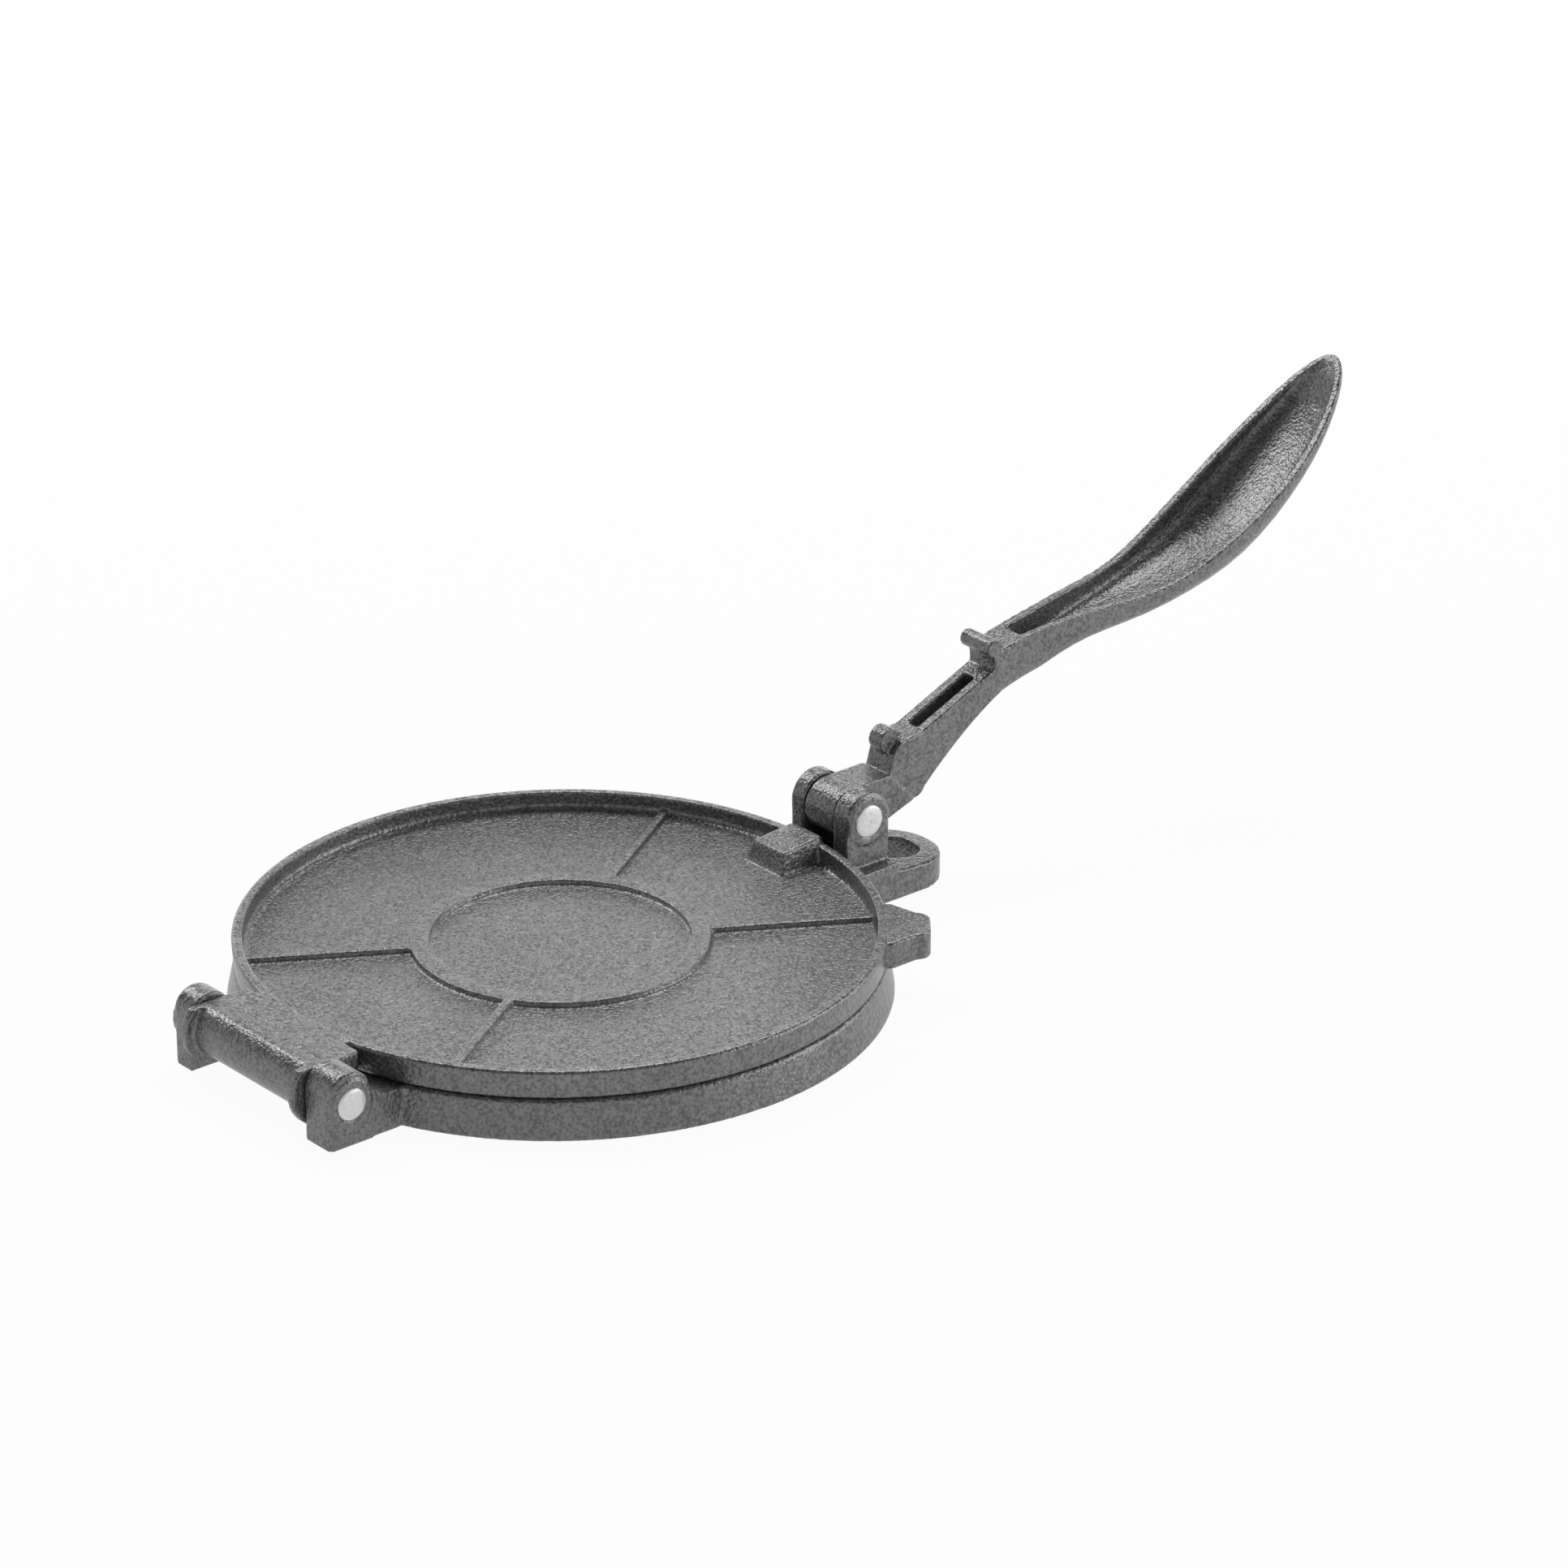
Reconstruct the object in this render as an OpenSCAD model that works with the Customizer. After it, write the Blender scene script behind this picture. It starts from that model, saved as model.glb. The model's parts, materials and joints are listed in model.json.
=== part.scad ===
// Cast iron tortilla press with a round base, a hinged top plate and a hollow lever.
// Everything is in millimetres. Z is up, the floor is z = 0 and the disc centre is x = y = 0.
// The plate's hinge lies on the -X side and the lever on the +X side; both pins run along Y.
// The plate is drawn closed and the lever leaning back on its stop.

/* [Top plate] */
// Diameter of the top plate, measured over its rim
plate_d = 210; // [170:1:260]
// Height of the top plate from its pressing face to the top of the rim
plate_h = 9.5; // [7:0.1:14]
// How much smaller the pressing face is than the rim, on the radius
plate_draft = 0.4; // [0:0.1:1]
// Thickness of the pan floor inside the rim
pan_floor_t = 3.4; // [2.5:0.1:6]
// Width of the rim at its top
rim_w = 3.5; // [2.5:0.1:8]
// Fillet between the rim and the pan floor
pan_fillet = 2; // [0.5:0.1:3]
// Inner diameter of the stiffening ring in the pan
ring_d = 84; // [50:1:110]
// Width of the stiffening ring
ring_w = 6.3; // [3:0.1:12]
// Width of the four straight ribs
rib_w = 3; // [2:0.1:6]
// Height of the ring and ribs above the pan floor
rib_h = 1.8; // [1:0.1:3]
// Angle between the line through both pins and the rib that points at the tab
side_rib_angle = 31.5; // [20:0.1:45]
// Angle between the line through both pins and the other rib
cross_rib_angle = 33.4; // [20:0.1:45]

/* [Lift tab] */
// Direction of the lift tab, seen from above
tab_angle = -39.5; // [-80:0.5:-25]
// How far the tab reaches beyond the rim
tab_reach = 13.3; // [6:0.1:20]
// Width of the tab where it leaves the rim
tab_root_w = 30; // [22:1:40]
// Width of the tab at its end
tab_end_w = 17; // [10:1:22]

/* [Pressing boss] */
// Width of the boss that the lever's nose presses on
boss_w = 14.6; // [9:0.1:22]
// Length of the boss, from its low end to the inside of the rim
boss_len = 14.6; // [10:0.1:20]
// Height of the boss at its low end, above the pan floor
boss_h = 7.3; // [4:0.1:10]
// Rise of the boss top towards the rim
boss_rise = 1.2; // [0:0.1:2]
// Spread of the boss at its foot, on every side
boss_flare = 2; // [0.5:0.1:4]
// Height of the rounded ridge behind the boss, above the rim
ridge_h = 2.4; // [1:0.1:3]

/* [Base] */
// Height of the base disc
base_h = 13.2; // [10:0.1:20]
// How far the foot of the base reaches beyond the rim, on the radius
base_flare = 2.1; // [0.5:0.1:5]
// Thickness of the base's pressing skin
base_skin_t = 5; // [3:0.1:8]
// Thickness of the skirt around the hollow underside
skirt_t = 4; // [3:0.1:8]
// Depth of the ribs under the base
under_rib_h = 4.5; // [2:0.1:6]
// Gap between the closed plates
plate_gap = 0.3; // [0.2:0.05:1]

/* [Hinge] */
// Distance of the hinge pin outside the top plate's rim
hinge_out = 12; // [11:0.1:20]
// Height of the hinge pin above the top plate's pressing face
hinge_rise = 1.1; // [0:0.1:4]
// Diameter of both pins
pin_d = 8; // [6:0.1:9]
// Radial running clearance of a moving part on its pin
run_gap = 0.08; // [0.03:0.01:0.1]
// Outer diameter of the hinge barrel
barrel_d = 18.4; // [15:0.1:20]
// Outer diameter of the collars at the ends of the barrel
collar_d = 24.4; // [21:0.1:24.6]
// Width of each collar
collar_w = 3; // [2:0.1:6]
// Distance between the inner faces of the ears
ear_gap = 59.6; // [50:0.1:76]
// Place of the middle between the ears along Y
ear_mid = -1.5; // [-4:0.1:2]
// Side clearance between the barrel and an ear
side_gap = 0.4; // [0.2:0.05:1]
// Thickness of the ear with the long boss
ear_near_t = 13; // [8:0.1:16]
// Thickness of the other ear
ear_far_t = 9.4; // [5:0.1:12]
// Width of an ear
ear_w = 16; // [14:0.1:17]
// How far the round crown of an ear is centred above the pin
ear_crown = 2.4; // [0:0.1:5]
// Width of the tongue between the plate and the barrel
tongue_w = 58; // [45:0.1:58]

/* [Lever mount] */
// Distance of the lever pin outside the top plate's rim
lever_out = 12.2; // [12:0.1:20]
// Height of the lever pin above the base's top
lever_rise = 16.3; // [15:0.1:24]
// Width of a lug
lug_w = 18.2; // [16:0.1:18.4]
// How far the round crown of a lug is centred above the pin
lug_crown = 0.8; // [0:0.1:4]
// Distance between the inner faces of the lugs
lug_gap = 15; // [12:0.1:20]
// Thickness of the lug on the near side
lug_near_t = 7.2; // [5:0.1:12]
// Thickness of the lug on the far side
lug_far_t = 6.2; // [4:0.1:10]
// Length of the stop that the leaning lever rests on, beyond the lever pin
stop_len = 12; // [8:0.1:13]
// Clearance between the lever and its stop
stop_gap = 0.3; // [0.1:0.05:0.6]

/* [Hanging loop] */
// How far the loop reaches beyond the lever pin
loop_reach = 35.9; // [30:0.1:60]
// Width of the tail and loop
loop_w = 33.6; // [30:0.1:44]
// Place of the tail's middle along Y, which lies nearer than the lever
loop_mid = -2.8; // [-5:0.1:2]
// Radius of the loop's outer corners
loop_corner = 15.5; // [6:0.5:16.5]
// Width of the metal on both sides of the hole
loop_side = 8; // [5:0.1:10]
// Width of the bar across the end of the loop
loop_bar = 6.2; // [5:0.1:9]
// Height of the loop next to the lugs
loop_root_h = 10.2; // [7:0.1:13]
// Height of the loop at its end
loop_end_h = 8.6; // [6:0.1:13]

/* [Rivets] */
// Diameter of the hinge pin's peened head
hinge_head_d = 11; // [9.5:0.1:12.5]
// Diameter of the lever pin's peened head
lever_head_d = 11.6; // [9.5:0.1:13]
// Height of a peened head
head_h = 1.5; // [0.8:0.1:2.5]
// Width of the raised ring around a head
boss_ring_w = 2; // [1:0.1:2.4]
// Height of the raised ring around a head
boss_ring_h = 0.8; // [0.4:0.1:2]

/* [Lever arm] */
// Width of the knuckle and neck
knuckle_w = 14.2; // [9:0.1:16]
// Diameter of the knuckle around the lever pin
knuckle_d = 18; // [16:0.1:18.6]
// Length of the neck from the pin to its front face
neck_len = 17; // [15:0.1:24]
// Slope of the neck's underside while the lever leans on its stop
neck_slope = 9; // [0:0.5:14]
// Width of the arm
arm_w = 12.4; // [8:0.1:15]
// Nose distance from the pin, along X
nose_x = 19.8; // [18:0.1:26]
// Nose height above the pin
nose_z = 18.9; // [17:0.1:24]
// Diameter of the nose
nose_d = 8.8; // [6:0.1:10]
// Length of the nose
nose_len = 6.4; // [4:0.1:11]
// Radius of the heel under the arm
heel_r = 4.5; // [3:0.1:6]
// Heel centre distance from the pin, along X
heel_x = 28.1; // [26:0.1:32]
// Heel centre height above the pin
heel_z = 1.5; // [0:0.1:4]
// Width of the groove in the arm
groove_w = 4.8; // [3:0.1:7]
// Depth of the groove in the arm
groove_d = 7; // [3:0.1:8]
// Diameter of the bar across the root of the handle
bar_d = 6; // [4:0.1:8]
// Length of the bar across the root of the handle
bar_len = 14.4; // [10:0.1:18]

/* [Handle] */
// Where the handle's root lies beyond the lever pin
root_x = 62; // [58:0.5:75]
// Height of the handle's rim above the lever pin, at the root
root_z = 39.2; // [37:0.1:50]
// Length of the handle from its root to its tip, along X
handle_reach = 161.2; // [130:0.1:220]
// Rise of the handle from its root to its tip
handle_rise = 65.1; // [40:0.1:90]
// Greatest width of the handle
handle_w = 38.6; // [28:0.1:50]
// Width of the handle at its root
root_w = 13.2; // [12:0.1:16]
// Depth of the handle at its root
root_d = 18.2; // [14.5:0.1:19]
// Depth of the handle at its narrow waist
waist_d = 10.3; // [8:0.1:14]
// Depth of the handle where it is widest
belly_d = 14.2; // [10:0.1:20]
// Wall thickness of the hollow handle
wall_t = 3; // [2:0.1:4]

/* [Hidden] */
$fn = 96;

// Heights of the closed plates
plate_r = plate_d / 2;
press_z = base_h + plate_gap;
rim_z = press_z + plate_h;
pan_z = press_z + pan_floor_t;

// Places of the two pins
hinge_x = -(plate_r + hinge_out);
hinge_z = press_z + hinge_rise;
lever_x = plate_r + lever_out;
lever_z = base_h + lever_rise;
bore_d = pin_d + 2 * run_gap;

// Faces of the ears and lugs along Y
ear_in_near = ear_gap / 2 - ear_mid;
ear_in_far = ear_gap / 2 + ear_mid;
ear_near = ear_in_near + ear_near_t;
ear_far = ear_in_far + ear_far_t;
lug_in = lug_gap / 2;
lug_near = lug_in + lug_near_t;
lug_far = lug_in + lug_far_t;

// Both ends of the arm's top edge, seen from the lever pin
arm_low = [nose_x + 10.9, nose_z + 1.1];
arm_high = [root_x + 0.6, root_z - 5.7];

// Small roundings of cast edges
edge_r = 0.8;
corner_r = 2.2;

// An extrusion along Y of an outline drawn in X and Z, from y0 to y1
module along_y(y0, y1) {
    translate([0, y1, 0])
        rotate([90, 0, 0])
            linear_extrude(y1 - y0)
                children();
}

// A round bar along Y, from y0 to y1
module bar_y(x, z, d, y0, y1) {
    along_y(y0, y1)
        translate([x, z])
            circle(d = d);
}

// A rectangle with round corners, given by two opposite corners
module round_rect(x0, y0, x1, y1, r) {
    translate([x0 + r, y0])
        square([x1 - x0 - 2 * r, y1 - y0]);
    translate([x0, y0 + r])
        square([x1 - x0, y1 - y0 - 2 * r]);
    for (x = [x0 + r, x1 - r], y = [y0 + r, y1 - r])
        translate([x, y])
            circle(r);
}

// Four straight ribs and a ring, from z0 up by h, ending at radius reach
module ribs_and_ring(z0, h, reach) {
    translate([0, 0, z0])
        linear_extrude(h)
            difference() {
                union() {
                    circle(d = ring_d + 2 * ring_w);
                    for (a = [-side_rib_angle, cross_rib_angle])
                        rotate(a)
                            translate([-reach, -rib_w / 2])
                                square([2 * reach, rib_w]);
                }
                circle(d = ring_d);
            }
}

// Raised ring around a peened head, on a face at y that looks along dir
module head_ring(x, z, head_d, y, dir) {
    inner_d = head_d + 0.6;
    outer_d = inner_d + 2 * boss_ring_w;
    y0 = min(y - dir * 0.5, y + dir * boss_ring_h);
    y1 = max(y - dir * 0.5, y + dir * boss_ring_h);
    along_y(y0, y1)
        translate([x, z])
            difference() {
                circle(d = outer_d);
                circle(d = inner_d);
            }
}

// A pin with a domed head at each end, its shank running from y0 to y1
module rivet(x, z, head_d, y0, y1) {
    dome_r = (pow(head_d / 2, 2) + pow(head_h, 2)) / (2 * head_h);
    translate([x, y1, z])
        rotate([90, 0, 0]) {
            cylinder(d = pin_d, h = y1 - y0);
            for (end = [0, 1])
                translate([0, 0, end * (y1 - y0)])
                    mirror([0, 0, 1 - end])
                        intersection() {
                            translate([0, 0, head_h - dome_r])
                                sphere(dome_r);
                            cylinder(d = head_d, h = head_h + 1);
                        }
        }
}

// Outline of the base disc, half of its section
module base_section() {
    foot_r = plate_r + base_flare;
    top_r = plate_r - plate_draft;
    polygon([
        [0, 0],
        [foot_r - edge_r, 0],
        [foot_r, edge_r],
        [top_r, base_h - edge_r],
        [top_r - edge_r, base_h],
        [0, base_h]
    ]);
}

// One hinge ear with the arm that joins it to the disc, between y0 and y1
module ear(y0, y1) {
    out = y1 > 0 ? 1 : -1;
    y_out = out > 0 ? y1 : y0;
    y_in = out > 0 ? y0 : y1;
    arm_x = hinge_x + ear_w / 2 - 1;
    root_y = abs(y_out) - 1.4;
    arm_end_x = -sqrt(pow(plate_r, 2) - pow(root_y, 2)) + 3;
    drop_x = -sqrt(pow(plate_r, 2) - pow(y_in, 2)) - 1;
    intersection() {
        along_y(y0, y1) {
            translate([hinge_x - ear_w / 2, 0])
                square([ear_w, hinge_z + ear_crown]);
            translate([hinge_x, hinge_z + ear_crown])
                circle(d = ear_w);
        }
        linear_extrude(hinge_z + ear_crown + ear_w)
            round_rect(
                hinge_x - ear_w / 2,
                min(y_out, y_in - out * 2 * corner_r),
                hinge_x + ear_w / 2,
                max(y_out, y_in - out * 2 * corner_r),
                corner_r
            );
    }
    intersection() {
        along_y(y0, y1)
            polygon([
                [arm_x, 0],
                [arm_end_x, 0],
                [arm_end_x, base_h],
                [drop_x, base_h],
                [drop_x - 6, base_h + 2.1],
                [arm_x, base_h + 2.1]
            ]);
        linear_extrude(base_h + 5)
            polygon([
                [arm_x, y_in],
                [arm_x, y_out - out * 0.4],
                [arm_end_x, out * root_y],
                [arm_end_x, y_in]
            ]);
    }
}

// One lever lug between y0 and y1, standing on the base
module lug(y0, y1) {
    along_y(y0, y1) {
        translate([lever_x - lug_w / 2, base_h - 2])
            square([lug_w, lever_rise + lug_crown + 2]);
        translate([lever_x, lever_z + lug_crown])
            circle(d = lug_w);
    }
}

// The stop between the lugs, its top parallel to the leaning neck
module stop() {
    u = [cos(neck_slope), sin(neck_slope)];
    n = [sin(neck_slope), -cos(neck_slope)];
    seat = [lever_x, lever_z] + n * (knuckle_d / 2 + stop_gap);
    a = seat + u * 1;
    b = seat + u * stop_len;
    along_y(-lug_in - 1, lug_in + 1)
        polygon([[a[0], loop_end_h - 2], [b[0], loop_end_h - 2], b, a]);
}

// Plan of the tail that carries the lugs and ends in the hanging loop
module tail_plan() {
    y0 = loop_mid - loop_w / 2;
    x0 = plate_r - 8;
    x1 = lever_x + loop_reach;
    translate([x0, y0])
        square([x1 - loop_corner - x0, loop_w]);
    round_rect(x0, y0, x1, y0 + loop_w, loop_corner);
}

// Plan of the hole in the loop
module loop_hole_plan() {
    half = loop_w / 2 - loop_side;
    x0 = lever_x + stop_len + 1;
    x1 = lever_x + loop_reach - loop_bar;
    corner = min(loop_corner - loop_bar + 2, half - 1, (x1 - x0) / 2 - 0.5);
    round_rect(x0, loop_mid - half, x1, loop_mid + half, corner);
}

// Base casting: disc, tail with loop, lugs, stop and hinge ears
module base() {
    foot_r = plate_r + base_flare;
    cavity_r = foot_r - skirt_t;
    ceiling_z = base_h - base_skin_t;
    tail_end = lever_x + loop_reach;
    color("dimgray") {
        difference() {
            union() {
                rotate_extrude()
                    base_section();
                intersection() {
                    linear_extrude(base_h)
                        tail_plan();
                    along_y(-loop_w, loop_w)
                        polygon([
                            [0, 0],
                            [tail_end, 0],
                            [tail_end, loop_end_h],
                            [lever_x + lug_w / 2, loop_root_h],
                            [lever_x + lug_w / 2, base_h],
                            [0, base_h]
                        ]);
                }
                ear(-ear_near, -ear_in_near);
                ear(ear_in_far, ear_far);
                lug(-lug_near, -lug_in);
                lug(lug_in, lug_far);
                stop();
                head_ring(hinge_x, hinge_z, hinge_head_d, -ear_near, -1);
                head_ring(hinge_x, hinge_z, hinge_head_d, ear_far, 1);
                head_ring(lever_x, lever_z, lever_head_d, -lug_near, -1);
                head_ring(lever_x, lever_z, lever_head_d, lug_far, 1);
            }
            translate([0, 0, -1])
                cylinder(r = cavity_r, h = ceiling_z + 1);
            translate([0, 0, -1])
                linear_extrude(base_h + 2)
                    loop_hole_plan();
            bar_y(hinge_x, hinge_z, pin_d, -ear_near - 5, ear_far + 5);
            bar_y(lever_x, lever_z, pin_d, -lug_near - 5, lug_far + 5);
        }
        ribs_and_ring(ceiling_z - under_rib_h, under_rib_h + 1, cavity_r + 1);
    }
}

// Section of the top plate: pressing skin, pan floor and rim
module plate_section() {
    inner_r = plate_r - rim_w;
    polygon([
        [0, press_z],
        [plate_r - plate_draft - edge_r, press_z],
        [plate_r - plate_draft, press_z + edge_r],
        [plate_r, rim_z - edge_r],
        [plate_r - edge_r, rim_z],
        [inner_r, rim_z],
        [inner_r, pan_z],
        [0, pan_z]
    ]);
    difference() {
        translate([inner_r - pan_fillet, pan_z - 1])
            square([pan_fillet + 1, pan_fillet + 1]);
        translate([inner_r - pan_fillet, pan_z + pan_fillet])
            circle(pan_fillet);
    }
}

// Lift tab, drawn along +X and turned into place
module lift_tab() {
    root_r = plate_r - rim_w / 2;
    end_r = plate_r + tab_reach;
    tip_r = 4.5;
    half_end = tab_end_w / 2;
    rotate(tab_angle)
        translate([0, 0, press_z])
            linear_extrude(plate_h - 0.4) {
                polygon([
                    [root_r, -tab_root_w / 2],
                    [plate_r + 1, -tab_root_w / 2],
                    [end_r - tip_r, -half_end],
                    [end_r - tip_r, half_end],
                    [plate_r + 1, tab_root_w / 2],
                    [root_r, tab_root_w / 2]
                ]);
                round_rect(root_r, -half_end, end_r, half_end, tip_r);
            }
}

// Pressing boss with a sloped top and flared foot, and the ridge behind it
module pressing_boss() {
    x1 = plate_r - rim_w / 2;
    x0 = plate_r - rim_w - boss_len;
    low_z = pan_z + boss_h;
    high_z = low_z + boss_rise;
    half = boss_w / 2;
    ridge_r = rim_w / 2;
    ridge_z = rim_z + ridge_h - ridge_r;
    intersection() {
        along_y(-half - boss_flare, half + boss_flare)
            polygon([
                [x0 - boss_flare, pan_z - 1],
                [x1, pan_z - 1],
                [x1, high_z],
                [x0, low_z],
                [x0 - boss_flare, pan_z]
            ]);
        rotate([90, 0, 90])
            linear_extrude(plate_r)
                polygon([
                    [-half - boss_flare, pan_z - 1],
                    [half + boss_flare, pan_z - 1],
                    [half + boss_flare, pan_z],
                    [half, high_z],
                    [-half, high_z],
                    [-half - boss_flare, pan_z]
                ]);
    }
    along_y(-half + 1, half - 1) {
        translate([plate_r - ridge_r - 0.3, ridge_z])
            circle(ridge_r);
        translate([plate_r - 2 * ridge_r - 0.3, rim_z - 2])
            square([2 * ridge_r, ridge_z - rim_z + 2]);
    }
}

// Tongue, barrel and collars that carry the plate on the hinge pin
module hinge_tongue() {
    y0 = side_gap - ear_in_near;
    y1 = ear_in_far - side_gap;
    along_y(ear_mid - tongue_w / 2, ear_mid + tongue_w / 2)
        translate([hinge_x, press_z])
            square([hinge_out + rim_w / 2, plate_h]);
    intersection() {
        union() {
            bar_y(hinge_x, hinge_z, barrel_d, y0, y1);
            bar_y(hinge_x, hinge_z, collar_d, y0, y0 + collar_w);
            bar_y(hinge_x, hinge_z, collar_d, y1 - collar_w, y1);
        }
        translate([hinge_x - collar_d, -ear_gap, 0])
            cube([2 * collar_d, 2 * ear_gap, rim_z]);
    }
}

// Top plate casting
module top_plate() {
    color("gray")
        difference() {
            union() {
                rotate_extrude()
                    plate_section();
                ribs_and_ring(pan_z - 1, rib_h + 1, plate_r - rim_w + 1);
                lift_tab();
                pressing_boss();
                hinge_tongue();
            }
            bar_y(hinge_x, hinge_z, bore_d, -ear_gap, ear_gap);
        }
}

// A value that runs smoothly from 0 to 1
function smooth(t) = let (c = min(max(t, 0), 1)) c * c * (3 - 2 * c);

// Point number i of a list, held at the ends
function held(list, i) = list[min(max(i, 0), len(list) - 1)];

// A smooth curve through a list of points; u runs from 0 to the last index
function curve(list, u) =
    let (
        i = min(floor(u), len(list) - 2),
        t = u - i,
        p0 = held(list, i - 1),
        p1 = held(list, i),
        p2 = held(list, i + 1),
        p3 = held(list, i + 2)
    )
    0.5 * (2 * p1 + (p2 - p0) * t + (2 * p0 - 5 * p1 + 4 * p2 - p3) * t * t
        + (3 * p1 - p0 - 3 * p2 + p3) * t * t * t);

// Key sections of the handle: share of reach, share of rise, depth, squareness
handle_keys = [
    [0, 0, root_d, 6],
    [0.1, 0.05, root_d - 2, 5],
    [0.24, 0.085, waist_d + 1.3, 4],
    [0.45, 0.128, waist_d, 2.8],
    [0.64, 0.327, belly_d, 2.4],
    [0.84, 0.648, 0.71 * belly_d, 2.2],
    [1, 1, 0.3 * belly_d, 2]
];
stations = 40;
ring_pts = 14;
belly_at = 0.71;

// Half width of the handle at share s of its reach
function half_width(s) =
    s < belly_at
        ? root_w / 2 + (handle_w - root_w) / 2 * smooth(s / belly_at)
        : max(0.4, handle_w / 2 * pow(max(0, 1 - pow((s - belly_at) / (1 - belly_at), 2)), 0.53));

// Share of the full hollow at share s: solid at the root and at the tip
function hollow(s) = smooth((s * handle_reach - 14) / 8) * smooth((1 - s) * handle_reach / 14);

// One section: outside from rim to rim, then back along the hollow
function handle_ring(u) =
    let (
        k = curve(handle_keys, u),
        ahead = curve(handle_keys, min(u + 0.01, len(handle_keys) - 1)),
        behind = curve(handle_keys, max(u - 0.01, 0)),
        along = [(ahead[0] - behind[0]) * handle_reach, (ahead[1] - behind[1]) * handle_rise],
        t = along / norm(along),
        w = half_width(k[0]),
        w_in = max(w - wall_t, 0.4 * w),
        d = k[2] * min(1, 0.35 + w / 12),
        d_in = max(d - wall_t, 0) * hollow(k[0]),
        x = lever_x + root_x + k[0] * handle_reach,
        z = lever_z + root_z + k[1] * handle_rise,
        p = 2 / k[3]
    )
    [
        for (i = [0:ring_pts])
            let (
                a = 180 * i / ring_pts,
                y = w * sign(cos(a)) * pow(abs(cos(a)), p),
                h = d * pow(max(sin(a), 0), p)
            )
            [x + h * t[1], y, z - h * t[0]],
        for (i = [0:ring_pts])
            let (
                a = 180 - 180 * i / ring_pts,
                y = w_in * sign(cos(a)) * pow(abs(cos(a)), 0.8 * p),
                h = d_in * pow(max(sin(a), 0), 0.8 * p)
            )
            [x + h * t[1], y, z - h * t[0]]
    ];

// Triangles that close the ring whose points start at index b; turn swaps their sides
function handle_cap(b, turn) =
    let (n = 2 * (ring_pts + 1))
    [
        for (i = [0:ring_pts - 1])
            let (
                o0 = b + i,
                o1 = b + i + 1,
                i0 = b + n - 1 - i,
                i1 = b + n - 2 - i,
                pair = i < ring_pts / 2 ? [[o0, o1, i0], [o1, i1, i0]] : [[o0, o1, i1], [o0, i1, i0]]
            )
            for (f = pair) turn ? [f[2], f[1], f[0]] : f
    ];

// The hollow handle as one closed skin through all its sections
module handle() {
    last = len(handle_keys) - 1;
    n = 2 * (ring_pts + 1);
    rings = [for (j = [0:stations]) handle_ring(last * (1 - cos(180 * j / stations)) / 2)];
    points = [for (ring = rings) each ring];
    sides = [
        for (j = [0:stations - 1], i = [0:n - 1])
            let (
                a = j * n + i,
                b = j * n + (i + 1) % n,
                c = a + n,
                e = b + n
            )
            each [[a, b, e], [a, e, c]]
    ];
    faces = concat(handle_cap(0, true), sides, handle_cap(stations * n, false));
    polyhedron(points = points, faces = faces, convexity = 6);
}

// Outline of the knuckle and neck, about the lever pin
module neck_outline() {
    u = [cos(neck_slope), sin(neck_slope)];
    n = [sin(neck_slope), -cos(neck_slope)];
    under = n * knuckle_d / 2;
    top_z = knuckle_d / 2;
    circle(d = knuckle_d);
    polygon([
        [0, 0],
        under,
        under + u * (stop_len + 2.6),
        [heel_x - 1, heel_z - heel_r + 0.2],
        [neck_len, top_z - 1],
        [neck_len - 1, top_z],
        [0, top_z]
    ]);
}

// Outline of the arm from the neck to the handle's root, about the lever pin
module arm_outline() {
    root_under = [root_x + 4, root_z - root_d + 3.6];
    heel_out = [heel_x + heel_r * cos(20), heel_z + heel_r * sin(-20)];
    bend = [root_x - 11.6, root_z - 22.3];
    steps = 10;
    back = [
        for (i = [0:steps])
            let (t = i / steps)
            pow(1 - t, 2) * heel_out + 2 * t * (1 - t) * bend + t * t * root_under
    ];
    polygon(concat(
        [
            [root_x + 4, root_z - 0.3],
            [root_x + 0.6, root_z - 0.3],
            arm_high,
            arm_low,
            [nose_x + 2, nose_z],
            [nose_x - 1.2, nose_z - 4],
            [neck_len - 0.5, knuckle_d / 2 - 1.5],
            [heel_x - 1, heel_z - heel_r + 0.4]
        ],
        back
    ));
    translate([heel_x, heel_z])
        circle(heel_r);
}

// Groove cut into the top of the arm, between nose and crossbar
module arm_groove() {
    run = norm(arm_high - arm_low);
    slope = atan2(arm_high[1] - arm_low[1], arm_high[0] - arm_low[0]);
    translate([lever_x + arm_low[0], 0, lever_z + arm_low[1]])
        rotate([0, -slope, 0])
            translate([1.5, -groove_w / 2, -groove_d])
                cube([run - 7.4, groove_w, groove_d + 3]);
}

// Lever casting: knuckle, neck, nose, arm, crossbar and hollow handle
module lever() {
    half_arm = arm_w / 2;
    bar_z = root_z + 2.4;
    color("slategray") {
        difference() {
            union() {
                along_y(-knuckle_w / 2, knuckle_w / 2)
                    translate([lever_x, lever_z])
                        neck_outline();
                along_y(-half_arm, half_arm)
                    translate([lever_x, lever_z])
                        arm_outline();
                bar_y(lever_x + nose_x, lever_z + nose_z, nose_d, -nose_len / 2, nose_len / 2);
                bar_y(lever_x + root_x, lever_z + bar_z, bar_d, -bar_len / 2, bar_len / 2);
            }
            arm_groove();
            bar_y(lever_x, lever_z, bore_d, -knuckle_w, knuckle_w);
        }
        handle();
    }
}

// Steel pin of the plate's hinge
module hinge_pin() {
    color("silver")
        rivet(hinge_x, hinge_z, hinge_head_d, -ear_near, ear_far);
}

// Steel pin of the lever
module lever_pin() {
    color("silver")
        rivet(lever_x, lever_z, lever_head_d, -lug_near, lug_far);
}

base();
top_plate();
lever();
hinge_pin();
lever_pin();
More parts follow.
